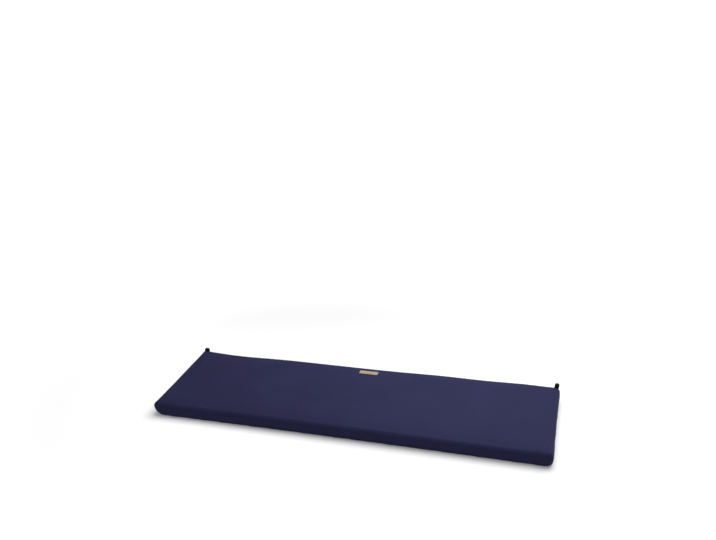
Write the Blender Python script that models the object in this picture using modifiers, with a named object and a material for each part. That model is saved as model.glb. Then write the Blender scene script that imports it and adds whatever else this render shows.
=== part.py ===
"""Long boxed seat cushion for a bench or sofa: a foam-filled cloth cover lying flat, with a leather
patch at the middle of its rear edge and an elastic tape loop in the seam at each rear corner.

Metres, +Z up. +X runs along the cushion, +Y points to its rear edge, and the origin is on the
surface that the cushion lies on, under its middle.
"""

import math

import bmesh
import bpy
from mathutils import Vector

# Driving dimensions of the cushion
LENGTH = 1.500
DEPTH = 0.450
BOTTOM_SEAM = 0.0050
TOP_SEAM = 0.0500
SEAM_SINK = 0.0030
LONG_SIDE_DRAW = 0.0045
SHORT_SIDE_DRAW = 0.0020

# From the top seam the filling rises in a short roll, and goes on inwards in a low crown
EDGE_ROLL = {"rise": 0.0042, "reach": 0.0080}
CROWN = {"rise": 0.0030, "reach": 0.0900}

# The underside lies flat inside these shares of the half length and half depth, which are cuts of
# the cage. Past that edge it rises to the bottom seam, with a slope from the start
FOOT = {"length": 0.940, "depth": 0.800}
UNDERSIDE_ROLL = 1.4

# The side from the bottom seam (share 0) to the top seam (share 1): inset is how far it lies
# inside the nominal outline, and corner the radius of the outline's corners
SIDE_SECTIONS = (
    {"share": 0.00, "inset": 0.0048, "corner": 0.0270},
    {"share": 0.22, "inset": 0.0008, "corner": 0.0230},
    {"share": 0.52, "inset": 0.0000, "corner": 0.0180},
    {"share": 0.82, "inset": 0.0006, "corner": 0.0140},
    {"share": 1.00, "inset": 0.0026, "corner": 0.0100},
)

# The cage's cuts, as shares of half the length and of half the depth
LENGTH_CUTS = (0.0, 0.10, 0.22, 0.34, 0.46, 0.58, 0.70, 0.80, 0.88, 0.94, 0.970, 0.986)
DEPTH_CUTS = (0.0, 0.22, 0.44, 0.64, 0.80, 0.90, 0.955)

# Slow unevenness of the filling over the whole top
WAVES = (
    {"along": 2.3, "across": 0.8, "phase": 0.6, "height": 0.0007},
    {"along": 5.1, "across": 1.7, "phase": 2.1, "height": 0.0004},
)

# The rear edge dips beside the left corner, which leaves the corner peaked, and swells to the right
REAR_EDGE_SWELLS = (
    {"middle": -0.580, "spread": 0.160, "height": -0.0062},
    {"middle": 0.310, "spread": 0.170, "height": 0.0038},
    {"middle": 0.620, "spread": 0.140, "height": 0.0026},
)
REAR_SWELL_REACH = 0.110

# Leather patch, sewn flat on the top near the rear edge
PATCH_LENGTH = 0.076
PATCH_WIDTH = 0.028
PATCH_THICKNESS = 0.0018
PATCH_MIDDLE = (0.0048, 0.1695)
PATCH_CORNER_TRIM = 0.0008
PATCH_STEPS = (12, 6)

# Elastic loops: a flat tape folded over, both ends in the rear top seam beside a corner. Its two
# legs bulge out by about half the gap from the loop's middle plane, and come together at the
# foot, the lower the pinch the sooner. Each end clears the cushion by the foot's clearance. The
# fold is turned towards the corner, and leans away from the foot along X and Y
LOOPS = (
    {"name": "loop_left", "middle": -0.7310, "height": 0.0176, "turn_deg": 4.0, "lean": (0.0010, -0.0035)},
    {"name": "loop_right", "middle": 0.7355, "height": 0.0232, "turn_deg": -6.0, "lean": (0.0025, 0.0)},
)
LOOP_HALF_GAP = 0.0071
TAPE_WIDTH = 0.0165
TAPE_THICKNESS = 0.0015
TAPE_EDGE_CURL = 0.0020
FOOT_HALF_GAP = 0.0011
FOOT_FROM_SEAM = 0.0020
FOOT_CLEARANCE = 0.0007
PINCH = 0.5
LOOP_STEPS = 36
TAPE_STEPS = 4

CLEARANCE = 0.0003

# A cage point this near to 1, as a share, is on the rim or on a seam
ON_EDGE = 0.9999
SEAM_CREASE = 1.0
CUT_TOLERANCE = 0.000001
FOOT_TOLERANCE = 0.0001

# Height from which the cushion's top is looked for, well above the whole cushion
OVERHEAD = 1.0

NAVY = (0.026, 0.028, 0.085, 1.0)
TAN = (0.53, 0.40, 0.26, 1.0)
BLACK = (0.010, 0.010, 0.011, 1.0)


def clear_scene():
    for old in list(bpy.data.objects):
        bpy.data.objects.remove(old, do_unlink=True)


def make_material(name, colour, roughness):
    material = bpy.data.materials.new(name)
    material.use_nodes = True
    shader = material.node_tree.nodes["Principled BSDF"]
    shader.inputs["Base Color"].default_value = colour
    shader.inputs["Roughness"].default_value = roughness
    shader.inputs["Metallic"].default_value = 0.0
    material.diffuse_color = colour
    return material


def add_object(name, bm, material, collection):
    """Puts a bmesh in a new smooth-shaded object of the collection."""
    mesh = bpy.data.meshes.new(name)
    bm.to_mesh(mesh)
    bm.free()
    mesh.materials.append(material)
    mesh.shade_smooth()
    obj = bpy.data.objects.new(name, mesh)
    collection.objects.link(obj)
    return obj


def section_at(share):
    """Inset and corner radius of the side at a share of the way from seam to seam."""
    for low, high in zip(SIDE_SECTIONS, SIDE_SECTIONS[1:]):
        if share <= high["share"]:
            t = (share - low["share"]) / (high["share"] - low["share"])
            return tuple(low[k] + t * (high[k] - low[k]) for k in ("inset", "corner"))
    return SIDE_SECTIONS[-1]["inset"], SIDE_SECTIONS[-1]["corner"]


def outline_point(u, v, inset, corner):
    """Plan place of a point at shares u, v of the half length and half depth.

    The outline is a rectangle whose sides draw in between the corners. Inside each corner's
    square, squares about its centre become circles, so that the corner is round.
    """
    half_length = LENGTH / 2 - inset - SHORT_SIDE_DRAW * (1 - v * v)
    half_depth = DEPTH / 2 - inset - LONG_SIDE_DRAW * (1 - u * u)
    x, y = u * half_length, v * half_depth
    centre_x = max(-(half_length - corner), min(half_length - corner, x))
    centre_y = max(-(half_depth - corner), min(half_depth - corner, y))
    out_x, out_y = x - centre_x, y - centre_y
    reach = math.hypot(out_x, out_y)
    if reach > 0 and out_x != 0 and out_y != 0:
        shrink = max(abs(out_x), abs(out_y)) / reach
        out_x, out_y = out_x * shrink, out_y * shrink
    return centre_x + out_x, centre_y + out_y


def rise_from_edges(u, v, reach):
    """0 at the seams and 1 well inside, approached within about reach metres of each edge."""
    from_end = (1 - abs(u)) * LENGTH / 2
    from_side = (1 - abs(v)) * DEPTH / 2
    return (1 - math.exp(-from_end / reach)) * (1 - math.exp(-from_side / reach))


def unevenness(u, v):
    """Height of the filling's slow waves, fading out towards the seams."""
    total = 0.0
    for wave in WAVES:
        along = math.sin(wave["along"] * math.pi * u + wave["phase"])
        across = math.cos(wave["across"] * math.pi * v + wave["phase"])
        total += wave["height"] * along * across
    return total * rise_from_edges(u, v, CROWN["reach"])


def rear_edge_swell(u, v):
    """Height that the rear edge gains or loses, full at the seam and fading inwards."""
    from_rear = (1 - v) * DEPTH / 2
    fade = math.exp(-((from_rear / REAR_SWELL_REACH) ** 2))
    total = 0.0
    for swell in REAR_EDGE_SWELLS:
        total += swell["height"] * math.exp(-(((u * LENGTH / 2 - swell["middle"]) / swell["spread"]) ** 2))
    return total * fade


def top_height(u, v):
    roll = EDGE_ROLL["rise"] * rise_from_edges(u, v, EDGE_ROLL["reach"])
    crown = CROWN["rise"] * rise_from_edges(u, v, CROWN["reach"])
    return TOP_SEAM + roll + crown + unevenness(u, v) + rear_edge_swell(u, v)


def underside_height(u, v):
    """Flat on the surface inside the foot, and rising from the foot's edge to the bottom seam."""
    past_end = (abs(u) - FOOT["length"]) / (1 - FOOT["length"])
    past_side = (abs(v) - FOOT["depth"]) / (1 - FOOT["depth"])
    return BOTTOM_SEAM * max(0.0, past_end, past_side) ** UNDERSIDE_ROLL


def on_foot_edge(u, v):
    """Whether a cage point of the underside is on the foot's edge, and whether it is a corner."""
    at_end = abs(abs(u) - FOOT["length"]) < FOOT_TOLERANCE
    at_side = abs(abs(v) - FOOT["depth"]) < FOOT_TOLERANCE
    inside_end = abs(u) < FOOT["length"] + FOOT_TOLERANCE
    inside_side = abs(v) < FOOT["depth"] + FOOT_TOLERANCE
    return (at_end and inside_side) or (at_side and inside_end), at_end and at_side


def cushion_point(u, v, share):
    """Place of a cage point: shares u, v of the half length and half depth, share from seam to seam."""
    inset, corner = section_at(share)
    x, y = outline_point(u, v, inset, corner)
    on_rim = max(abs(u), abs(v)) > ON_EDGE
    on_top = share > ON_EDGE
    on_underside = share < 1 - ON_EDGE
    if on_rim and (on_top or on_underside):
        pull = 1 - SEAM_SINK / math.hypot(x, y)
        x, y = x * pull, y * pull
    if on_top:
        return x, y, top_height(u, v)
    if on_underside:
        return x, y, underside_height(u, v)
    return x, y, BOTTOM_SEAM + share * (TOP_SEAM - BOTTOM_SEAM + rear_edge_swell(u, v))


def build_cushion(material, collection):
    """A sliced cube is the coarse cage: its top and bottom rims are the seams, creased.

    The foot's edge on the underside is creased too, and its corners are kept sharp, so that the
    cushion stands on a true rectangle.
    """
    bm = bmesh.new()
    bmesh.ops.create_cube(bm, size=2.0)
    cuts = [(Vector((sign * cut, 0, 0)), Vector((1, 0, 0))) for cut in LENGTH_CUTS for sign in (-1, 1)]
    cuts += [(Vector((0, sign * cut, 0)), Vector((0, 1, 0))) for cut in DEPTH_CUTS for sign in (-1, 1)]
    cuts += [(Vector((0, 0, 2 * s["share"] - 1)), Vector((0, 0, 1))) for s in SIDE_SECTIONS[1:-1]]
    for point, normal in cuts:
        everything = bm.verts[:] + bm.edges[:] + bm.faces[:]
        bmesh.ops.bisect_plane(
            bm, geom=everything, plane_co=point, plane_no=normal, dist=CUT_TOLERANCE
        )

    crease = bm.edges.layers.float.new("crease_edge")
    sharp_point = bm.verts.layers.float.new("crease_vert")
    for edge in bm.edges:
        on_rim = all(max(abs(vert.co.x), abs(vert.co.y)) > ON_EDGE for vert in edge.verts)
        on_seam = abs(sum(vert.co.z for vert in edge.verts)) > 2 * ON_EDGE
        on_underside = all(vert.co.z < -ON_EDGE for vert in edge.verts)
        on_foot = all(on_foot_edge(vert.co.x, vert.co.y)[0] for vert in edge.verts)
        if (on_rim and on_seam) or (on_underside and on_foot):
            edge[crease] = SEAM_CREASE
    for vert in bm.verts:
        if vert.co.z < -ON_EDGE and on_foot_edge(vert.co.x, vert.co.y)[1]:
            vert[sharp_point] = SEAM_CREASE
    for vert in bm.verts:
        vert.co = cushion_point(vert.co.x, vert.co.y, (vert.co.z + 1) / 2)

    cushion = add_object("cushion", bm, material, collection)
    smooth = cushion.modifiers.new("soft filling", "SUBSURF")
    smooth.levels = smooth.render_levels = 1
    return cushion


def build_patch(cushion, material, collection):
    """A small grid laid on the cushion's top by Shrinkwrap, given its thickness by Solidify."""
    bm = bmesh.new()
    bmesh.ops.create_grid(bm, x_segments=PATCH_STEPS[0], y_segments=PATCH_STEPS[1], size=1.0)
    for vert in bm.verts:
        x, y = vert.co.x * PATCH_LENGTH / 2, vert.co.y * PATCH_WIDTH / 2
        if min(abs(vert.co.x), abs(vert.co.y)) > ON_EDGE:
            x -= math.copysign(PATCH_CORNER_TRIM, x)
            y -= math.copysign(PATCH_CORNER_TRIM, y)
        vert.co = (PATCH_MIDDLE[0] + x, PATCH_MIDDLE[1] + y, OVERHEAD)
    patch = add_object("leather_patch", bm, material, collection)

    lay = patch.modifiers.new("lay on the top", "SHRINKWRAP")
    lay.target = cushion
    lay.wrap_method = "PROJECT"
    lay.use_project_z = True
    lay.use_negative_direction = True
    lay.use_positive_direction = False
    lay.offset = CLEARANCE
    leather = patch.modifiers.new("leather", "SOLIDIFY")
    leather.thickness = PATCH_THICKNESS
    leather.offset = 1.0
    return patch


def rear_seam_y(x):
    """Place of the rear top seam across the cushion, rounding the corners in plan."""
    inset, corner = SIDE_SECTIONS[-1]["inset"] + SEAM_SINK, SIDE_SECTIONS[-1]["corner"]
    past_straight = max(0.0, abs(x) - (LENGTH / 2 - inset - corner))
    return DEPTH / 2 - inset - corner + math.sqrt(max(0.0, corner ** 2 - past_straight ** 2))


def height_at(cushion, x, y):
    """Height of the finished cushion's top at a point of the plan, or 0 beside the cushion."""
    graph = bpy.context.evaluated_depsgraph_get()
    start, down = Vector((x, y, OVERHEAD)), Vector((0, 0, -1))
    found, place, _, _ = cushion.evaluated_get(graph).ray_cast(start, down)
    return place.z if found else 0.0


def build_loop(loop, cushion, material, collection):
    """A strip that goes up from the seam, round the fold and down again, thickened by Solidify.

    angle runs from 0 at the rear end of the tape to pi at the front end. The rise is the sine
    squared, and the way out is the sine of twice the angle, pinched near the foot. Each end
    follows the cushion's top along the seam, and the fold is level but for its curled edges.
    """
    lean_x, lean_y = loop["lean"]
    fold_y = rear_seam_y(loop["middle"]) - FOOT_FROM_SEAM + lean_y
    fold_z = TOP_SEAM + loop["height"] - TAPE_THICKNESS / 2
    slope = math.tan(math.radians(loop["turn_deg"]))
    bm = bmesh.new()
    bmesh.ops.create_grid(bm, x_segments=LOOP_STEPS, y_segments=TAPE_STEPS, size=1.0)
    for vert in bm.verts:
        angle = math.pi * (vert.co.x + 1) / 2
        sideways = vert.co.y * TAPE_WIDTH / 2
        x = loop["middle"] + sideways
        foot_y = rear_seam_y(x) - FOOT_FROM_SEAM
        end_y = foot_y + math.copysign(FOOT_HALF_GAP, math.cos(angle))
        under_y = (end_y - TAPE_THICKNESS, end_y, end_y + TAPE_THICKNESS)
        foot_z = FOOT_CLEARANCE + max(height_at(cushion, x, y) for y in under_y)
        rise = math.sin(angle) ** 2
        out = LOOP_HALF_GAP * math.sin(2 * angle) * rise ** PINCH + FOOT_HALF_GAP * math.cos(angle)
        y = foot_y + out + rise * (fold_y + slope * sideways - foot_y)
        curl = TAPE_EDGE_CURL * vert.co.y ** 4
        vert.co = (x + rise * lean_x, y, foot_z + rise * (fold_z - curl - foot_z))
    strip = add_object(loop["name"], bm, material, collection)
    tape = strip.modifiers.new("tape", "SOLIDIFY")
    tape.thickness = TAPE_THICKNESS
    tape.offset = 0.0
    return strip


def main():
    clear_scene()
    collection = bpy.data.collections.new("bench_cushion")
    bpy.context.scene.collection.children.link(collection)
    cloth = make_material("navy canvas", NAVY, 0.85)
    leather = make_material("tan leather", TAN, 0.55)
    elastic = make_material("black elastic", BLACK, 0.8)

    cushion = build_cushion(cloth, collection)
    build_patch(cushion, leather, collection)
    bpy.context.view_layer.update()
    for loop in LOOPS:
        build_loop(loop, cushion, elastic, collection)


main()
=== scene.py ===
from math import pi, radians

import bpy
import numpy as np
from mathutils import Euler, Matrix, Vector


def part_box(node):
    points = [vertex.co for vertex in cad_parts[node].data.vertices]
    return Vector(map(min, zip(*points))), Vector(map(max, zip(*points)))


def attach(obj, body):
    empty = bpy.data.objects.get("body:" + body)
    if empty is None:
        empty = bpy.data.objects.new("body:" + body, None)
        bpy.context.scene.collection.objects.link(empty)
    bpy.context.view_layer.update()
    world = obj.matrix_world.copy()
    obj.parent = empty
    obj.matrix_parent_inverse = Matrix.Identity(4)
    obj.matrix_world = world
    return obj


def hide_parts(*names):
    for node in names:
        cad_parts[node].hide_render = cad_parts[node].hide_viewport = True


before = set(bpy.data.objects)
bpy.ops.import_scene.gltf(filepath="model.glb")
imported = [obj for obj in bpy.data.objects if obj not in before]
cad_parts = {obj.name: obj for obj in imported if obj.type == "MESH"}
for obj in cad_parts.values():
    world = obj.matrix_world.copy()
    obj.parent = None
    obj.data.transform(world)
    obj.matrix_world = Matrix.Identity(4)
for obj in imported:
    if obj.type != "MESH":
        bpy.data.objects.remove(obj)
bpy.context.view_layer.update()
scene = bpy.context.scene

# A long boxed bench cushion in navy canvas: a foam-filled cover, a tan leather patch and two black
# elastic loops. Everything is in metres, +Z up, and the rear edge is at +Y.


# Small helpers

tiny = 1e-12      # keeps a division off zero


def smoothStep(low, high, x):
    # 0 below low, 1 above high, and the cubic 3t^2 - 2t^3 between them
    t = np.clip((x - low) / (high - low), 0.0, 1.0)
    return t * t * (3 - 2 * t)


def bell(x):
    # 1 at zero and fading both ways: e to the power of minus x squared
    return np.exp(-x ** 2)


def newObject(name, points, faces):
    # a smoothly shaded object of an array of points and a list of faces
    mesh = bpy.data.meshes.new(name)
    mesh.from_pydata(points.tolist(), [], faces)
    mesh.shade_smooth()
    mesh.update()
    obj = bpy.data.objects.new(name, mesh)
    scene.collection.objects.link(obj)
    return obj


def gridFaces(ids):
    # quads of a grid of point numbers, each from a point and its next row and next column
    return np.stack([ids[:-1, :-1], ids[1:, :-1], ids[1:, 1:], ids[:-1, 1:]], axis=-1).reshape(-1, 4)


def closeRows(ids):
    # rows of point numbers with the first one again at the end of each
    return np.concatenate([ids, ids[..., :1]], axis=-1)


def pathLength(points):
    # how far along the way each of its points lies: the sum of the steps up to it
    return np.concatenate([[0.0], np.cumsum(np.linalg.norm(np.diff(points, axis=0), axis=1))])


def readPoints(mesh):
    # a row of x, y and z for each point
    flat = np.empty(len(mesh.vertices) * 3)
    mesh.vertices.foreach_get("co", flat)
    return flat.reshape(-1, 3)


def writePoints(mesh, points):
    mesh.vertices.foreach_set("co", points.astype(np.float32).ravel())
    mesh.update()


def readNormals(mesh):
    # a row of x, y and z for the way that each point faces
    flat = np.empty(len(mesh.vertices) * 3)
    mesh.vertex_normals.foreach_get("vector", flat)
    return flat.reshape(-1, 3)


def readSeamGap(mesh):
    # how far each point of the cloth lies from the nearest seam
    gap = np.empty(len(mesh.vertices))
    mesh.attributes["seamGap"].data.foreach_get("value", gap)
    return gap


def giveUv(mesh, name, pointUv):
    # one place per point, copied to each corner of the faces
    corner = np.empty(len(mesh.loops), dtype=np.int64)
    mesh.loops.foreach_get("vertex_index", corner)
    mesh.uv_layers.new(name=name).data.foreach_set("uv", pointUv[corner].astype(np.float32).ravel())


def gradedPlaces(length, edgeCells, cell):
    # places from -length/2 to length/2: fine at both ends, even cells between
    fine = np.concatenate([[0.0], np.cumsum(edgeCells)])
    inner = length - 2 * fine[-1]
    even = np.linspace(0.0, inner, int(round(inner / cell)) + 1)[1:-1]
    return np.concatenate([fine, fine[-1] + even, length - fine[::-1]]) - length / 2


def roundCorners(x, y, halfX, halfY, corner):
    # inside each corner's square, squares about its centre become circles
    centreX = np.clip(x, -(halfX - corner), halfX - corner)
    centreY = np.clip(y, -(halfY - corner), halfY - corner)
    outX, outY = x - centreX, y - centreY
    reach = np.maximum(np.hypot(outX, outY), tiny)
    shrink = np.where((outX != 0) & (outY != 0), np.maximum(abs(outX), abs(outY)) / reach, 1.0)
    return centreX + outX * shrink, centreY + outY * shrink


def rimOf(numbers):
    # the point numbers round the edge of a grid, counter-clockwise from its first corner
    return np.concatenate([numbers[:-1, 0], numbers[-1, :-1], numbers[:0:-1, -1], numbers[0, :0:-1]])


def surfaceBelow(obj):
    # a function that gives the height of the object's top under places of the plan: the mean of
    # the top's own points, each counted by a bell around the place
    points, normals = readPoints(obj.data), readNormals(obj.data)
    top = points[normals[:, 2] > cover["topFacing"]]

    def heightAt(x, y, blur):
        places = np.stack([x.ravel(), y.ravel()], axis=-1)
        past = 2 * cover["cell"]
        least, most = places.min(axis=0) - past, places.max(axis=0) + past
        around = top[((top[:, :2] > least) & (top[:, :2] < most)).all(axis=1)]
        gap = (places[:, :1] - around[:, 0]) ** 2 + (places[:, 1:] - around[:, 1]) ** 2
        weight = np.exp(-gap / (2 * blur ** 2)) + tiny
        return (weight @ around[:, 2] / weight.sum(axis=1)).reshape(x.shape)
    return heightAt


# Material nodes

class Nodes:
    # short ways to add nodes to a material and join them

    def __init__(self, name):
        self.material = bpy.data.materials.new(name)
        self.material.use_nodes = True
        self.tree = self.material.node_tree
        self.shader = self.tree.nodes["Principled BSDF"]

    def put(self, socket, value):
        # a link from another node, or a plain value
        if isinstance(value, bpy.types.NodeSocket):
            self.tree.links.new(value, socket)
        else:
            socket.default_value = value

    def math(self, kind, a, b=0.0, c=0.0):
        node = self.tree.nodes.new("ShaderNodeMath")
        node.operation = kind
        for socket, value in zip(node.inputs, (a, b, c)):
            self.put(socket, value)
        return node.outputs[0]

    def wave(self, x, length):
        # half a sine wave for each length, all of them upwards
        return self.math("ABSOLUTE", self.math("SINE", self.math("MULTIPLY", x, pi / length)))

    def choose(self, share, a, b):
        # share times a, and the rest of it times b
        rest = self.math("SUBTRACT", 1.0, share)
        return self.math("ADD", self.math("MULTIPLY", a, share), self.math("MULTIPLY", b, rest))

    def ramp(self, x, low, high, toLow=0.0, toHigh=1.0):
        # from toLow to toHigh by a smooth step while x goes from low to high
        node = self.tree.nodes.new("ShaderNodeMapRange")
        node.interpolation_type = "SMOOTHSTEP"
        for key, value in zip(("Value", "From Min", "From Max", "To Min", "To Max"),
                              (x, low, high, toLow, toHigh)):
            self.put(node.inputs[key], value)
        return node.outputs["Result"]

    def mix(self, share, a, b):
        node = self.tree.nodes.new("ShaderNodeMix")
        node.data_type = "RGBA"
        self.put(node.inputs["Factor"], share)
        self.put(node.inputs["A"], a)
        self.put(node.inputs["B"], b)
        return node.outputs["Result"]

    def noise(self, where, scale, detail=2.0, rough=0.5):
        node = self.tree.nodes.new("ShaderNodeTexNoise")
        self.put(node.inputs["Vector"], where)
        self.put(node.inputs["Scale"], scale)
        self.put(node.inputs["Detail"], detail)
        self.put(node.inputs["Roughness"], rough)
        return node.outputs["Fac"]

    def cells(self, where, scale):
        # the distance from the middle of the nearest of many scattered cells
        node = self.tree.nodes.new("ShaderNodeTexVoronoi")
        self.put(node.inputs["Vector"], where)
        self.put(node.inputs["Scale"], scale)
        return node.outputs["Distance"]

    def objectPlace(self):
        return self.tree.nodes.new("ShaderNodeTexCoord").outputs["Object"]

    def uvPlace(self, name):
        node = self.tree.nodes.new("ShaderNodeUVMap")
        node.uv_map = name
        return node.outputs["UV"]

    def stretch(self, where, scale):
        node = self.tree.nodes.new("ShaderNodeMapping")
        self.put(node.inputs["Vector"], where)
        self.put(node.inputs["Scale"], scale)
        return node.outputs["Vector"]

    def split(self, where):
        node = self.tree.nodes.new("ShaderNodeSeparateXYZ")
        self.put(node.inputs[0], where)
        return node.outputs

    def attribute(self, name):
        node = self.tree.nodes.new("ShaderNodeAttribute")
        node.attribute_name = name
        return node.outputs["Fac"]

    def bump(self, height, distance, strength, onto=None):
        node = self.tree.nodes.new("ShaderNodeBump")
        self.put(node.inputs["Height"], height)
        self.put(node.inputs["Distance"], distance)
        self.put(node.inputs["Strength"], strength)
        if onto:
            self.put(node.inputs["Normal"], onto)
        return node.outputs["Normal"]

    def finish(self, colour, roughness, normal, **plain):
        self.put(self.shader.inputs["Base Color"], colour)
        self.put(self.shader.inputs["Roughness"], roughness)
        self.put(self.shader.inputs["Normal"], normal)
        for key, value in plain.items():
            self.shader.inputs[key.replace("_", " ")].default_value = value
        return self.material


# Camera, at the photo's angle

view = {
    "place": (0.7822, -2.5114, 1.6566),
    "turned": (67.6188, 2.0931, 15.8685),   # degrees about X, Y and Z
    "lens": 39.92, "sensor": 36.0,          # millimetres
    "reach": 200.0,
}


def makeCamera():
    data = bpy.data.cameras.new("photoView")
    data.lens = view["lens"]
    data.sensor_width = view["sensor"]
    data.clip_end = view["reach"]
    camera = bpy.data.objects.new("photoView", data)
    camera.location = view["place"]
    camera.rotation_euler = Euler([radians(a) for a in view["turned"]])
    scene.collection.objects.link(camera)
    scene.camera = camera


# The cover: top panel, boxing band and bottom panel, closed and filled

low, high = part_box("cushion")
cover = {
    "length": high[0] - low[0] + 0.0036,      # the cloth is a little fuller than the solid
    "depth": high[1] - low[1] + 0.0014,
    "bottomSeam": 0.0036,
    "topSeam": 0.0500,
    "cell": 0.0100,                           # size of a cell well inside a panel
    "edgeCells": (0.0012, 0.0016, 0.0022, 0.0030, 0.0042, 0.0058, 0.0078),
    "bandRows": 12,
    "onSeam": 0.0001,                         # what is nearer to a seam than this lies on it
    "topFacing": 0.3,                         # what faces upwards more than this is the top
    "roll": 0.0064, "rollReach": 0.0150,      # how the top comes up from its seam
    "crown": 0.0026, "crownReach": 0.0900,    # how it goes on to rise further in
    "undersideReach": 0.0300,
    "longDraw": 0.0045, "shortDraw": 0.0020,  # how far the sides draw in between the corners
    "topInset": 0.0038, "topPower": 7,        # how far the seams draw in, and how suddenly
    "bottomInset": 0.0056, "bottomPower": 4,
    "topCorner": 0.0110,
    "bottomCorner": (0.0400, 0.0240),         # at the left end and at the right end
    # waves along the cushion, phase and size of the bottom seam's unevenness in plan
    "bottomWaves": ((14.0, 0.4, 0.0005), (23.0, 2.2, 0.0004), (37.0, 5.0, 0.0003)),
    "bottomSkew": 0.3,                        # how much these waves also run across it
    "rearReach": 0.110,
    # middle along the rear edge, spread and height of each dip or swell
    "rearSwells": ((-0.580, 0.160, -0.0062), (0.310, 0.170, 0.0042), (0.620, 0.140, 0.0052)),
    # waves along, waves across, phase and height of the filling's unevenness
    "waves": ((2.3, 0.8, 0.6, 0.0007), (5.1, 1.7, 2.1, 0.0004), (9.7, 3.1, 4.0, 0.00025)),
}


def insetAt(share):
    # how far the band lies inside the outline: a power of the share of the height for the top
    # seam and one of the rest for the bottom seam, so that mid height bulges most
    top = cover["topInset"] * share ** cover["topPower"]
    return top + cover["bottomInset"] * (1 - share) ** cover["bottomPower"]


def cornerAt(share, u):
    # the corner's radius goes evenly from the bottom seam's to the top seam's
    bottom = np.where(u < 0, *cover["bottomCorner"])
    return bottom + share * (cover["topCorner"] - bottom)


def planPlace(u, v, share):
    # a rectangle whose sides draw in by a parabola between the corners, which are round, and
    # which sine waves make uneven towards the bottom seam
    waves = sum(size * np.sin(count * pi * (u + cover["bottomSkew"] * v) + phase)
                for count, phase, size in cover["bottomWaves"])
    inset = insetAt(share) + waves * (1 - share) ** 2
    corner = cornerAt(share, u)
    halfX = cover["length"] / 2 - inset - cover["shortDraw"] * (1 - v * v)
    halfY = cover["depth"] / 2 - inset - cover["longDraw"] * (1 - u * u)
    return roundCorners(u * halfX, v * halfY, halfX, halfY, corner)


def fromEdges(u, v):
    # metres from the nearer end and from the nearer long side
    return (1 - abs(u)) * cover["length"] / 2, (1 - abs(v)) * cover["depth"] / 2


def riseFromEdges(u, v, reach):
    # one less a decay from the end, times one less a decay from the long side
    fromEnd, fromSide = fromEdges(u, v)
    return (1 - np.exp(-fromEnd / reach)) * (1 - np.exp(-fromSide / reach))


def roundRoll(u, v, reach):
    # a quarter of an ellipse across the edge, 0 at the seam and 1 from reach inwards
    fromEnd, fromSide = fromEdges(u, v)
    a = 1 - np.clip(fromEnd / reach, 0, 1)
    b = 1 - np.clip(fromSide / reach, 0, 1)
    return np.sqrt(np.clip(1 - np.maximum(a, b) ** 2, 0, 1))


def rearSwell(u, v):
    # bell-shaped dips and swells along the rear edge, fading inwards as a bell too
    fade = bell((1 - v) * cover["depth"] / 2 / cover["rearReach"])
    x = u * cover["length"] / 2
    return fade * sum(h * bell((x - middle) / spread) for middle, spread, h in cover["rearSwells"])


def topHeight(u, v):
    # the top seam's height, the roll, the crown with sine waves in it, and the rear swells
    uneven = sum(h * np.sin(a * pi * u + p) * np.cos(b * pi * v + p) for a, b, p, h in cover["waves"])
    crown = riseFromEdges(u, v, cover["crownReach"])
    roll = cover["roll"] * roundRoll(u, v, cover["rollReach"])
    return cover["topSeam"] + roll + (cover["crown"] + uneven) * crown + rearSwell(u, v)


def undersideHeight(u, v):
    # the parabola from the bottom seam down to the surface, which it meets level
    fromEnd, fromSide = fromEdges(u, v)
    inside = np.clip(np.minimum(fromEnd, fromSide) / cover["undersideReach"], 0, 1)
    return cover["bottomSeam"] * (1 - inside) ** 2


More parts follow.
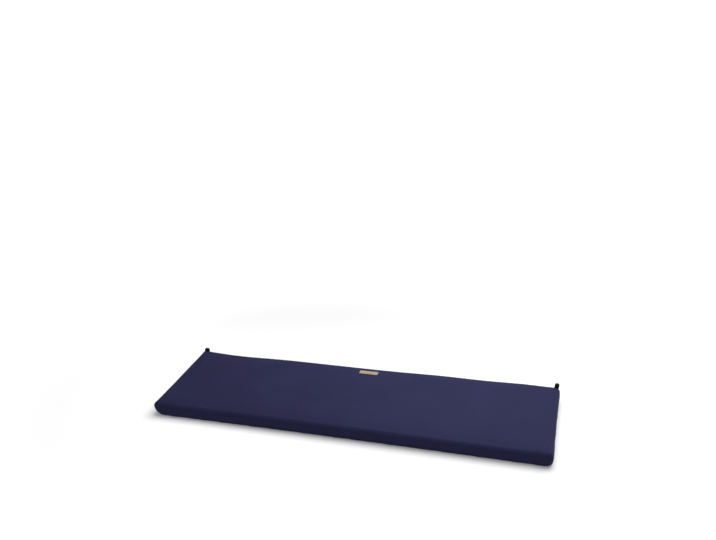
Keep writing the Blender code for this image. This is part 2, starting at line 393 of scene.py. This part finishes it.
def makeCover():
    # Two grids over the shares u, v of the half sizes are the panels, and a band of rows joins
    # their rims. The UV map is the cloth's own: metres along and across each cut piece
    us, vs = (gradedPlaces(cover[side], cover["edgeCells"], cover["cell"]) / (cover[side] / 2)
              for side in ("length", "depth"))
    u, v = np.meshgrid(us, vs, indexing="ij")
    top = np.stack([*planPlace(u, v, 1.0), topHeight(u, v)], axis=-1).reshape(-1, 3)
    under = np.stack([*planPlace(u, v, 0.0), undersideHeight(u, v)], axis=-1).reshape(-1, 3)

    numbers = np.arange(u.size).reshape(u.shape)
    rim = rimOf(numbers)
    rimU, rimV = u.ravel()[rim], v.ravel()[rim]
    bandHeight = cover["topSeam"] - cover["bottomSeam"]
    shares = np.linspace(0.0, 1.0, cover["bandRows"] + 1)[1:-1]
    rows = []
    for share in shares:
        z = cover["bottomSeam"] + share * (bandHeight + rearSwell(rimU, rimV))
        rows.append(np.stack([*planPlace(rimU, rimV, share), z], axis=-1))

    underStart, bandStart = u.size, 2 * u.size
    between = [bandStart + row * len(rim) + np.arange(len(rim)) for row in range(len(shares))]
    bandIds = closeRows(np.array([underStart + rim, *between, rim]))
    topFaces = gridFaces(numbers)
    underFaces = gridFaces(numbers + underStart)[:, ::-1]
    bandFaces = gridFaces(bandIds)[:, ::-1]
    faces = np.concatenate([topFaces, underFaces, bandFaces]).tolist()
    obj = newObject("cushion_cover", np.concatenate([top, under, *rows]), faces)

    # the cloth's UV map, by face corner, because the panels and the band meet at the seams
    along = pathLength(top[np.append(rim, rim[0])])
    height = np.concatenate([[0.0], shares, [1.0]]) * bandHeight
    bandUv = np.stack(np.meshgrid(height, along, indexing="ij")[::-1], axis=-1).reshape(-1, 2)
    bandCorners = gridFaces(np.arange(bandIds.size).reshape(bandIds.shape))[:, ::-1]
    panelUv = np.stack([u * cover["length"] / 2, v * cover["depth"] / 2], axis=-1).reshape(-1, 2)
    uv = np.concatenate([panelUv[topFaces], panelUv[underFaces - underStart], bandUv[bandCorners]])
    obj.data.uv_layers.new(name="cloth").data.foreach_set("uv", uv.astype(np.float32).ravel())

    # the distance from the nearest seam, kept through the subdivision
    panelGap = np.minimum(*fromEdges(u, v)).ravel()
    bandGap = np.repeat(np.minimum(shares, 1 - shares) * bandHeight, len(rim))
    gap = np.concatenate([panelGap, panelGap, bandGap]).astype(np.float32)
    obj.data.attributes.new("seamGap", "FLOAT", "POINT").data.foreach_set("value", gap)
    print("cover grid:", len(gap), "points")
    return obj


cloth = {
    "frames": 20, "quality": 5,
    "pressure": 0.6,
    "mass": 0.3,
    "stiffness": 15.0, "shear": 5.0, "bending": 0.6,
    "excess": 0.002,       # how much larger the cloth is cut than the shape that it covers
    "cap": 0.0022,         # the most that a point may move
    "seamHold": 0.9,
    "restHeight": 0.0015,  # what lies lower than this rests on the surface and stays
}


def fillCover(obj):
    # The cloth is blown out by the filling's pressure, held at its seams and where it rests. Each
    # point's move m is then kept under the cap c: it becomes m c over the root of c^2 + m^2
    start = readPoints(obj.data)
    hold = cloth["seamHold"] * (readSeamGap(obj.data) < cover["onSeam"])
    hold = np.where(start[:, 2] < cloth["restHeight"], 1.0, hold)
    group = obj.vertex_groups.new(name="hold")
    for weight in (cloth["seamHold"], 1.0):
        group.add(np.flatnonzero(hold == weight).tolist(), weight, "REPLACE")

    modifier = obj.modifiers.new("filling", "CLOTH")
    setting = modifier.settings
    setting.quality = cloth["quality"]
    setting.mass = cloth["mass"]
    setting.tension_stiffness = setting.compression_stiffness = cloth["stiffness"]
    setting.shear_stiffness = cloth["shear"]
    setting.bending_stiffness = cloth["bending"]
    setting.use_pressure = True
    setting.uniform_pressure_force = cloth["pressure"]
    setting.effector_weights.gravity = 0.0
    setting.shrink_min = -cloth["excess"]
    setting.vertex_group_mass = "hold"
    modifier.collision_settings.use_collision = False
    modifier.collision_settings.use_self_collision = False
    modifier.point_cache.frame_start = 1
    modifier.point_cache.frame_end = cloth["frames"]
    for number in range(1, cloth["frames"] + 1):
        scene.frame_set(number)
    evaluated = obj.evaluated_get(bpy.context.evaluated_depsgraph_get())
    moved = readPoints(evaluated.data) - start
    obj.modifiers.remove(modifier)
    scene.frame_set(1)
    size = np.linalg.norm(moved, axis=1, keepdims=True)
    print("cloth moved by up to %.1f mm before its cap" % (size.max() * 1000))
    writePoints(obj.data, start + moved * cloth["cap"] / np.sqrt(cloth["cap"] ** 2 + size ** 2))


def subdivide(obj):
    # one subdivision, with the seams kept by a crease, applied to the mesh
    mesh = obj.data
    ends = np.empty(len(mesh.edges) * 2, dtype=np.int64)
    mesh.edges.foreach_get("vertices", ends)
    onSeam = (readSeamGap(mesh)[ends.reshape(-1, 2)] < cover["onSeam"]).all(axis=1).astype(np.float32)
    mesh.attributes.new("crease_edge", "FLOAT", "EDGE").data.foreach_set("value", onSeam)
    modifier = obj.modifiers.new("finer", "SUBSURF")
    modifier.levels = modifier.render_levels = 1
    graph = bpy.context.evaluated_depsgraph_get()
    finer = bpy.data.meshes.new_from_object(
        obj.evaluated_get(graph), preserve_all_data_layers=True, depsgraph=graph)
    obj.modifiers.remove(modifier)
    obj.data = finer
    finer.shade_smooth()
    bpy.data.meshes.remove(mesh)


seam = {
    "depth": 0.0013, "width": 0.0022,          # the groove where two panels are sewn together
    "puckerDepth": 0.00055, "puckerReach": 0.0110,
    # length of each pucker wave and its share
    "puckers": ((0.0210, 0.5), (0.0134, 0.3), (0.0370, 0.4)),
    "slant": 1.7,                              # how fast they run round a corner
    "drift": 40.0,                             # sets the waves off from one another along a seam
    "slowMean": 0.6, "slowSwing": 0.4,         # how they grow and fade along the cushion
    "slowAlong": 9.0, "slowAcross": 23.0,
    "heldFlat": 0.7,                           # how much of them the groove itself takes away
    "liftFrom": 0.0008, "liftTo": 0.0040,      # heights between which the cloth comes free
}


def sewSeams(obj):
    # the cloth sinks into the seam as a bell across it, and gathers in puckers that fade inwards:
    # sine waves of three lengths, stronger and weaker by a slow sine
    points, normals = readPoints(obj.data), readNormals(obj.data)
    x, y, z = points.T
    gap = readSeamGap(obj.data)
    inGroove = bell(gap / seam["width"])
    drift = seam["drift"] * x / seam["puckerReach"]
    wave = sum(share * np.sin(2 * pi * (x + seam["slant"] * y) / length + length * drift)
               for length, share in seam["puckers"])
    slow = seam["slowMean"] + seam["slowSwing"] * np.sin(x * seam["slowAlong"] + y * seam["slowAcross"])
    fade = bell(gap / seam["puckerReach"]) * (1 - seam["heldFlat"] * inGroove)
    push = seam["puckerDepth"] * wave * slow * fade - seam["depth"] * inGroove
    push *= smoothStep(seam["liftFrom"], seam["liftTo"], z)
    writePoints(obj.data, points + normals * push[:, None])


canvas = {
    "thread": 0.00078,                         # from one thread to the next
    "wander": 0.9, "wanderScale": 60.0,        # how many threads they stray, and how often
    "crossing": 0.35,                          # how softly one thread dives under the other
    "slubAlong": 90.0, "slubAcross": 1200.0,   # thick places per metre along a thread and across
    "slubHeight": 0.35,                        # as a share of the thread's own height
    "fuzzScale": 2600.0, "mottledScale": 7.0, "unevenScale": 38.0,
    "wornScale": 45.0, "wornReach": 0.0045, "wornShare": 0.55,
    "threadHeight": 0.00016, "fuzzHeight": 0.00012, "unevenHeight": 0.0022,
    "navy": (0.0152, 0.0150, 0.0545, 1),
    "faded": (0.0220, 0.0228, 0.0725, 1),
    # the darker navy of the painted shade between the threads
    "shadedNavy": (0.0108, 0.0104, 0.0375, 1),
    "sheen": (0.55, 0.60, 1.0, 1.0),
}


def canvasMaterial():
    # Plain weave: each thread is half a sine wave across, and the sign of the product of both
    # sines says which of the two crossing threads lies on top
    n = Nodes("navyCanvas")
    where = n.uvPlace("cloth")
    place = n.objectPlace()
    astray = n.math("SUBTRACT", n.noise(where, canvas["wanderScale"]), 0.5)
    astray = n.math("MULTIPLY", astray, canvas["thread"] * canvas["wander"])
    waves = []
    for axis in n.split(where)[:2]:
        turns = n.math("MULTIPLY", n.math("ADD", axis, astray), pi / canvas["thread"])
        waves.append(n.math("SINE", turns))
    onTop = n.ramp(n.math("MULTIPLY", *waves), -canvas["crossing"], canvas["crossing"])
    height = n.choose(onTop, *(n.math("ABSOLUTE", wave) for wave in waves))

    # threads differ along their length, as spun yarn does
    along, across = canvas["slubAlong"], canvas["slubAcross"]
    slubWarp = n.noise(n.stretch(where, (across, along, 1.0)), 1.0, 1.0)
    slubWeft = n.noise(n.stretch(where, (along, across, 1.0)), 1.0, 1.0)
    slub = n.choose(onTop, slubWarp, slubWeft)

    # faded where the cloth stands out, in soft patches and where the seams rub
    mottled = n.noise(place, canvas["mottledScale"], 3.0, 0.55)
    nearSeam = n.ramp(n.attribute("seamGap"), 0.0, canvas["wornReach"], canvas["wornShare"], 0.0)
    rubbed = n.ramp(n.noise(place, canvas["wornScale"], 3.0), 0.35, 0.75, 0.15, 0.75)
    worn = n.math("MULTIPLY", nearSeam, rubbed)
    # painted shade: the low parts of each thread, between the crossings, are painted a darker navy
    colour = n.mix(n.ramp(height, 0.15, 0.95), canvas["shadedNavy"], canvas["navy"])
    colour = n.mix(n.ramp(slub, 0.30, 0.75, 0.0, 0.35), colour, canvas["faded"])
    colour = n.mix(n.ramp(mottled, 0.35, 0.70, 0.0, 0.22), colour, canvas["faded"])
    colour = n.mix(worn, colour, canvas["faded"])
    rough = n.ramp(height, 0.1, 1.0, 0.95, 0.80)

    normal = n.bump(n.noise(place, canvas["unevenScale"], 3.0), canvas["unevenHeight"], 0.12)
    normal = n.bump(n.noise(place, canvas["fuzzScale"], 2.0, 0.6), canvas["fuzzHeight"], 0.35, normal)
    yarn = n.math("ADD", height, n.math("MULTIPLY", slub, canvas["slubHeight"]))
    normal = n.bump(yarn, canvas["threadHeight"], 0.75, normal)
    return n.finish(colour, rough, normal, Specular_IOR_Level=0.12,
                    Sheen_Weight=0.03, Sheen_Roughness=0.5, Sheen_Tint=canvas["sheen"])


# The leather patch, sewn flat on the top

low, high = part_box("leather_patch")
patch = {
    "middle": ((low[0] + high[0]) / 2, (low[1] + high[1]) / 2),
    "length": high[0] - low[0],
    "width": high[1] - low[1],
    "thickness": 0.0018,
    "corner": 0.0022,
    "gap": 0.0003,             # between the leather and the cloth
    "smoothing": 0.0032,       # how widely the cloth's heights are averaged under it
    "edgeRound": 0.0007,
    "cell": 0.0009, "edgeCells": (0.00012, 0.00018, 0.0002, 0.00025, 0.0003, 0.0004, 0.0005),
    "stitchInset": 0.0028, "stitchCorner": 0.0008, "stitchSink": 0.00042, "stitchSinkWidth": 0.0010,
    "stitchLength": 0.0024, "stitchPitch": 0.0034, "stitchRings": 9, "stitchSides": 8,
    "stitchBow": 0.00035, "stitchDive": 0.00020,
    "threadRadius": 0.00027, "threadEnd": 0.02,
    "grainScale": 950.0, "grainHeight": 0.00022, "creaseScale": 160.0, "creaseHeight": 0.0006,
    "cloudScale": 55.0, "speckScale": 420.0,
    "burntReach": 0.0016, "pressedReach": 0.0011, "rustFrom": 0.0010, "rustTo": 0.0040,
    "twistScale": 5200.0, "twistHeight": 0.0001,
    "tan": (0.272, 0.210, 0.132, 1), "pale": (0.345, 0.281, 0.191, 1),
    "burnt": (0.110, 0.072, 0.042, 1), "rust": (0.200, 0.085, 0.035, 1),
    "thread": (0.36, 0.31, 0.23, 1),
}


def makePatch(heightAt):
    # A grid over the leather, fine at its edge and with its corners rounded as the cover's are,
    # and the same grid underneath. Its edge is a quarter round, and the stitch line a bell
    halfX, halfY = patch["length"] / 2, patch["width"] / 2
    xs, ys = (gradedPlaces(2 * half, patch["edgeCells"], patch["cell"]) for half in (halfX, halfY))
    x, y = np.meshgrid(xs, ys, indexing="ij")
    edge = np.minimum(halfX - abs(x), halfY - abs(y))
    x, y = roundCorners(x, y, halfX, halfY, patch["corner"])
    placeX, placeY = x + patch["middle"][0], y + patch["middle"][1]
    base = heightAt(placeX, placeY, patch["smoothing"]) + patch["gap"]
    short = 1 - np.clip(edge / patch["edgeRound"], 0, 1)
    rounding = patch["edgeRound"] * (1 - np.sqrt(1 - short ** 2))
    sink = patch["stitchSink"] * bell((edge - patch["stitchInset"]) / patch["stitchSinkWidth"])
    top = np.stack([placeX, placeY, base + patch["thickness"] - rounding - sink], axis=-1)
    under = np.stack([placeX, placeY, base], axis=-1)
    points = np.concatenate([top.reshape(-1, 3), under.reshape(-1, 3)])

    numbers = np.arange(x.size).reshape(x.shape)
    rim = rimOf(numbers)
    band = closeRows(np.array([rim + x.size, rim]))
    faces = [gridFaces(numbers), gridFaces(numbers + x.size)[:, ::-1], gridFaces(band)[:, ::-1]]
    obj = newObject("leather_patch_finished", points, np.concatenate(faces).tolist())
    giveUv(obj.data, "leather", points[:, :2] - np.array(patch["middle"]))
    return obj


def stitchLine(s):
    # place on the stitches' rounded rectangle at shares s of its length, counter-clockwise from
    # the middle of its right side, and that length: straight runs and quarter arcs by turns
    halfX = patch["length"] / 2 - patch["stitchInset"]
    halfY = patch["width"] / 2 - patch["stitchInset"]
    corner = patch["stitchCorner"]
    runX, runY, arc = 2 * (halfX - corner), 2 * (halfY - corner), corner * pi / 2
    lengths = [runY / 2, arc, runX, arc, runY, arc, runX, arc, runY / 2]
    ends = np.cumsum([0.0] + lengths)
    d = np.mod(s, 1.0) * ends[-1]
    x, y = np.zeros_like(d), np.zeros_like(d)
    arcSides = {1: (1, 1), 3: (-1, 1), 5: (-1, -1), 7: (1, -1)}
    for k in range(len(lengths)):
        inside = (d >= ends[k]) & (d <= ends[k + 1])
        t = d - ends[k]
        if k in arcSides:
            sideX, sideY = arcSides[k]
            angle = (k - 1) * pi / 4 + t / corner
            runAtX = sideX * (halfX - corner) + corner * np.cos(angle)
            runAtY = sideY * (halfY - corner) + corner * np.sin(angle)
        else:
            runAtX = {0: halfX, 2: halfX - corner - t, 4: -halfX, 6: -halfX + corner + t, 8: halfX}[k]
            runAtY = {0: t, 2: halfY, 4: halfY - corner - t, 6: -halfY, 8: -halfY + corner + t}[k]
        x, y = np.where(inside, runAtX, x), np.where(inside, runAtY, y)
    return x + patch["middle"][0], y + patch["middle"][1], ends[-1]


def makeStitches(heightAt):
    # A capsule for each stitch: rings along it whose radius is the root of one less the fourth
    # power of the way from its middle, on a parabola whose ends dive into the leather
    length = stitchLine(np.zeros(1))[2]
    count = int(length / patch["stitchPitch"])
    along = np.linspace(-1, 1, patch["stitchRings"])
    turn = np.arange(patch["stitchSides"]) / patch["stitchSides"] * 2 * pi
    middles = (np.arange(count) + 0.5) / count
    x, y, _ = stitchLine(middles[:, None] + along * patch["stitchLength"] / 2 / length)
    stepX, stepY = np.gradient(x, axis=1), np.gradient(y, axis=1)
    step = np.hypot(stepX, stepY)
    radius = patch["threadRadius"] * np.sqrt(np.clip(1 + patch["threadEnd"] - along ** 4, 0, 1))
    bow = patch["stitchBow"] * (1 - along ** 2) - patch["stitchDive"]
    leather = heightAt(x, y, patch["smoothing"]) + patch["gap"] + patch["thickness"]
    z = leather - patch["stitchSink"] + bow
    outwards = radius[:, None] * np.cos(turn)
    ringX = x[..., None] - (stepY / step)[..., None] * outwards
    ringY = y[..., None] + (stepX / step)[..., None] * outwards
    ringZ = z[..., None] + radius[:, None] * np.sin(turn)
    points = np.stack([ringX, ringY, ringZ], axis=-1).reshape(-1, 3)

    faces = []
    for ids in np.arange(len(points)).reshape(count, len(along), len(turn)):
        faces += gridFaces(closeRows(ids))[:, ::-1].tolist()
        faces += [ids[0].tolist(), ids[-1][::-1].tolist()]
    print("patch stitches:", count)
    return newObject("patch_stitches", points, faces)


def leatherMaterial():
    # grain of small cells and creases, a burnished darker edge and a pressed stitch line
    n = Nodes("tanLeather")
    place = n.objectPlace()
    x, y, _ = n.split(n.uvPlace("leather"))
    edgeX = n.math("SUBTRACT", patch["length"] / 2, n.math("ABSOLUTE", x))
    edgeY = n.math("SUBTRACT", patch["width"] / 2, n.math("ABSOLUTE", y))
    edge = n.math("MINIMUM", edgeX, edgeY)
    fromStitches = n.math("ABSOLUTE", n.math("SUBTRACT", edge, patch["stitchInset"]))
    cloudy = n.noise(place, patch["cloudScale"], 4.0, 0.6)
    specks = n.noise(place, patch["speckScale"])
    colour = n.mix(n.ramp(cloudy, 0.30, 0.75), patch["tan"], patch["pale"])
    colour = n.mix(n.ramp(specks, 0.55, 0.85, 0.0, 0.30), colour, patch["burnt"])
    colour = n.mix(n.ramp(edge, 0.0, patch["burntReach"], 0.75, 0.0), colour, patch["burnt"])
    colour = n.mix(n.ramp(fromStitches, 0.0, patch["pressedReach"], 0.22, 0.0), colour, patch["burnt"])
    # the front edge is rubbed to a rusty brown
    fromFront = n.math("ADD", y, patch["width"] / 2)
    rubbed = n.ramp(fromFront, patch["rustFrom"], patch["rustTo"], 0.65, 0.0)
    colour = n.mix(rubbed, colour, patch["rust"])
    rough = n.ramp(cloudy, 0.25, 0.80, 0.62, 0.48)
    normal = n.bump(n.noise(place, patch["creaseScale"], 4.0, 0.6), patch["creaseHeight"], 0.25)
    normal = n.bump(n.cells(place, patch["grainScale"]), patch["grainHeight"], 0.45, normal)
    return n.finish(colour, rough, normal, Specular_IOR_Level=0.45)


def threadMaterial():
    # waxed thread: a fine twist across its length
    n = Nodes("waxedThread")
    twist = n.noise(n.objectPlace(), patch["twistScale"], 2.0, 0.7)
    colour = n.mix(n.ramp(twist, 0.3, 0.8, 0.0, 0.5), patch["thread"], patch["tan"])
    return n.finish(colour, n.ramp(twist, 0.2, 0.8, 0.65, 0.5), n.bump(twist, patch["twistHeight"], 0.5))


# The elastic loops, folded tape with both ends in the rear top seam

tape = {
    "width": 0.0165, "thickness": 0.0015,
    "edgeCurls": {"loop_left": 0.0026, "loop_right": 0.0048},
    "puffs": {"loop_left": 0.0, "loop_right": 0.0020},      # how much the cloth one stands higher
    "halfGap": 0.0071, "footHalfGap": 0.0011, "footFromSeam": 0.0020, "footSink": 0.0006,
    "smoothing": 0.0012,                                    # as the patch's, under the feet
    "pinch": 0.5, "turns": {"loop_left": 4.0, "loop_right": -6.0},
    "leans": {"loop_left": (0.0010, -0.0035), "loop_right": (0.0025, 0.0)},
    "middles": {"loop_left": -0.7310, "loop_right": 0.7355},
    "steps": 150, "around": 64, "flatness": 0.34,
    "ribs": 7, "ribHeight": 0.00013, "ribbedFrom": 0.25,
    "crossPitch": 0.00062, "weaveHeight": 0.00018, "dustScale": 300.0,
    # grey: the colour of the dust, and of the painted highlight on the raised threads
    "black": (0.0060, 0.0060, 0.0070, 1), "grey": (0.0150, 0.0150, 0.0170, 1),
}


def rearSeamY(x):
    # the straight rear edge, and its quarter arc beyond where the corner starts
    inset = insetAt(1.0)
    corner = cornerAt(1.0, x)
    past = np.maximum(0.0, abs(x) - (cover["length"] / 2 - inset - corner))
    return cover["depth"] / 2 - inset - corner + np.sqrt(np.maximum(0.0, corner ** 2 - past ** 2))


def makeLoop(node, heightAt):
    # Along the tape the angle goes from 0 to pi: the rise is sine squared, the way out is the
    # sine of twice the angle, pinched near the foot. Across it the section is a flat superellipse
    # with ribs, set square to the way that the tape goes, and its edges curl down by a cube
    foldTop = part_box(node)[1][2]
    middle, turn = tape["middles"][node], radians(tape["turns"][node])
    leanX, leanY = tape["leans"][node]
    foldZ = foldTop - tape["thickness"] / 2 + tape["puffs"][node]
    across = np.arange(tape["around"]) / tape["around"] * 2 * pi
    w = np.sign(np.cos(across)) * abs(np.cos(across)) ** tape["flatness"] * tape["width"] / 2
    rib = tape["ribHeight"] * np.cos(2 * pi * tape["ribs"] * w / tape["width"])
    face = np.sqrt(abs(np.sin(across))) * tape["thickness"] / 2
    face += rib * (abs(np.sin(across)) > tape["ribbedFrom"])
    h = np.sign(np.sin(across)) * np.maximum(face, 0)

    a, sideways = np.meshgrid(np.linspace(0.0, pi, tape["steps"]), w, indexing="ij")
    x = middle + sideways
    footY = rearSeamY(x) - tape["footFromSeam"]
    footZ = heightAt(x[0], footY[0], tape["smoothing"]) - tape["footSink"]
    foldY = rearSeamY(np.array(middle)) - tape["footFromSeam"] + leanY
    rise = np.sin(a) ** 2
    out = tape["halfGap"] * np.sin(2 * a) * rise ** tape["pinch"] + tape["footHalfGap"] * np.cos(a)
    y = footY + out + rise * (foldY + np.tan(turn) * sideways - footY)
    curl = tape["edgeCurls"][node] * abs(sideways / (tape["width"] / 2)) ** 3
    z = footZ + rise * (foldZ - curl - footZ)
    centre = np.stack([x + rise * leanX, y, z], axis=-1)
    forward = np.gradient(centre, axis=0)
    forward /= np.linalg.norm(forward, axis=-1, keepdims=True)
    normal = np.cross(np.array([np.cos(turn), np.sin(turn), 0.0]), forward)
    normal /= np.linalg.norm(normal, axis=-1, keepdims=True)
    points = (centre + normal * h[None, :, None]).reshape(-1, 3)

    ids = np.arange(len(points)).reshape(a.shape)
    faces = gridFaces(closeRows(ids)).tolist() + [ids[0].tolist(), ids[-1][::-1].tolist()]
    obj = newObject(node + "_tape", points, faces)
    run = pathLength(centre.mean(axis=1))
    giveUv(obj.data, "tape", np.stack([np.repeat(run, tape["around"]), np.tile(w, tape["steps"])], axis=-1))
    return obj


def elasticMaterial():
    # woven elastic: fine cross threads between the lengthwise ribs, and a little shine on the ribs, from
    # their lower roughness and from a painted highlight that makes the raised threads greyer
    n = Nodes("blackElastic")
    x, y, _ = n.split(n.uvPlace("tape"))
    cross = n.wave(x, tape["crossPitch"])
    rib = n.wave(y, tape["width"] / tape["ribs"] / 2)
    height = n.math("MULTIPLY", cross, n.ramp(rib, 0.0, 1.0, 0.5, 1.0))
    dusty = n.noise(n.objectPlace(), tape["dustScale"], 3.0)
    # painted highlight: the raised threads are painted greyer than the black between them
    colour = n.mix(n.ramp(height, 0.2, 1.0, 0.0, 0.45), tape["black"], tape["grey"])
    colour = n.mix(n.ramp(dusty, 0.5, 0.8, 0.0, 0.3), colour, tape["grey"])
    rough = n.ramp(height, 0.1, 1.0, 0.9, 0.62)
    return n.finish(colour, rough, n.bump(height, tape["weaveHeight"], 0.7),
                    Specular_IOR_Level=0.18, Sheen_Weight=0.03, Sheen_Roughness=0.4)


# The studio: a white surface that goes on as white light, and a soft light overhead

studio = {
    "surfaceRadius": 40.0,
    "shadowOut": 0.75, "glowFrom": 1.15,   # between these the surface turns into plain white light
    "narrower": 0.72,                      # x counts less for that, as the cushion is long
    "glow": 1.08, "lift": 0.20,            # its light out there, and beside the cushion
    # the surface is lit more at +X and +Y and less at both sides, and is made as much greyer: even
    # over the sum of the middle, slopeX times x, slopeY times y and, taken off, sides times x^2
    "even": 0.84, "middle": 1.22, "slopeX": 0.24, "slopeY": 0.47, "sides": 0.24, "whitest": 0.95,
    "airLight": 0.15, "airShown": 1.05,
    "white": (1, 1, 1, 1),
    # a large softbox above and behind, and a small one over the right part of the top
    "softboxes": (
        {"place": (0.50, 0.60, 1.70), "aim": (0.1, -0.1, 0.0), "size": (2.8, 3.2), "power": 75.0},
        {"place": (0.75, 0.45, 1.30), "aim": (0.6, 0.1, 0.0), "size": (0.9, 0.9), "power": 5.0},
    ),
}


def surfaceMaterial():
    # Matte near the cushion, and plain light beyond an ellipse about it
    n = Nodes("studioWhite")
    x, y, _ = n.split(n.objectPlace())
    squareX = n.math("POWER", n.math("MULTIPLY", x, studio["narrower"]), 2.0)
    away = n.math("SQRT", n.math("ADD", squareX, n.math("POWER", y, 2.0)))
    lit = n.math("MULTIPLY_ADD", x, studio["slopeX"], studio["middle"])
    lit = n.math("MULTIPLY_ADD", y, studio["slopeY"], lit)
    lit = n.math("MULTIPLY_ADD", n.math("MULTIPLY", x, x), -studio["sides"], lit)
    lit = n.math("MAXIMUM", lit, studio["even"])
    grey = n.math("MINIMUM", n.math("DIVIDE", studio["even"], lit), studio["whitest"])
    n.put(n.shader.inputs["Base Color"], grey)
    n.shader.inputs["Emission Color"].default_value = studio["white"]
    n.shader.inputs["Emission Strength"].default_value = studio["lift"]
    n.shader.inputs["Roughness"].default_value = 1.0
    n.shader.inputs["Specular IOR Level"].default_value = 0.0
    glow = n.tree.nodes.new("ShaderNodeEmission")
    glow.inputs["Strength"].default_value = studio["glow"]
    blend = n.tree.nodes.new("ShaderNodeMixShader")
    n.put(blend.inputs[0], n.ramp(away, studio["shadowOut"], studio["glowFrom"]))
    n.put(blend.inputs[1], n.shader.outputs[0])
    n.put(blend.inputs[2], glow.outputs[0])
    n.put(n.tree.nodes["Material Output"].inputs["Surface"], blend.outputs[0])
    return n.material


def makeSurface():
    # one large square at the height that the cushion lies on
    r = studio["surfaceRadius"]
    corners = np.array([(-r, -r, 0), (r, -r, 0), (r, r, 0), (-r, r, 0)])
    surface = newObject("studio_surface", corners, [(0, 1, 2, 3)])
    surface.data.materials.append(surfaceMaterial())


def makeLights():
    for box in studio["softboxes"]:
        data = bpy.data.lights.new("softbox", "AREA")
        data.shape = "RECTANGLE"
        data.size, data.size_y = box["size"]
        data.energy = box["power"]
        light = bpy.data.objects.new("softbox", data)
        light.location = box["place"]
        aim = Vector(box["aim"]) - Vector(box["place"])
        light.rotation_euler = aim.to_track_quat("-Z", "Y").to_euler()
        scene.collection.objects.link(light)


def makeAir():
    # the air is white behind everything, and gives only a little light
    world = bpy.data.worlds.new("studioAir")
    scene.world = world
    world.use_nodes = True
    tree = world.node_tree
    air = tree.nodes["Background"]
    air.inputs["Color"].default_value = studio["white"]
    path = tree.nodes.new("ShaderNodeLightPath")
    strength = tree.nodes.new("ShaderNodeMapRange")
    strength.inputs["To Min"].default_value = studio["airLight"]
    strength.inputs["To Max"].default_value = studio["airShown"]
    tree.links.new(path.outputs["Is Camera Ray"], strength.inputs["Value"])
    tree.links.new(strength.outputs["Result"], air.inputs["Strength"])


# Making it all

scene.view_settings.view_transform = "Standard"
scene.view_settings.look = "None"
makeCamera()

coverPiece = makeCover()
fillCover(coverPiece)
subdivide(coverPiece)
sewSeams(coverPiece)
coverPiece.data.materials.clear()
coverPiece.data.materials.append(canvasMaterial())
print("cover finished:", len(coverPiece.data.polygons), "faces")

heightAt = surfaceBelow(coverPiece)
patchPiece = makePatch(heightAt)
patchPiece.data.materials.append(leatherMaterial())
stitchPiece = makeStitches(heightAt)
stitchPiece.data.materials.append(threadMaterial())
elastic = elasticMaterial()
tapes = {}
for node in ("loop_left", "loop_right"):
    tapes[node] = makeLoop(node, heightAt)
    tapes[node].data.materials.append(elastic)
print("patch and loops finished")

makeSurface()
makeLights()
makeAir()
print("studio finished")

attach(coverPiece, "root")
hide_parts("cushion")
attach(patchPiece, "root")
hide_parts("leather_patch")
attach(stitchPiece, "root")
for node, piece in tapes.items():
    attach(piece, "root")
    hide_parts(node)
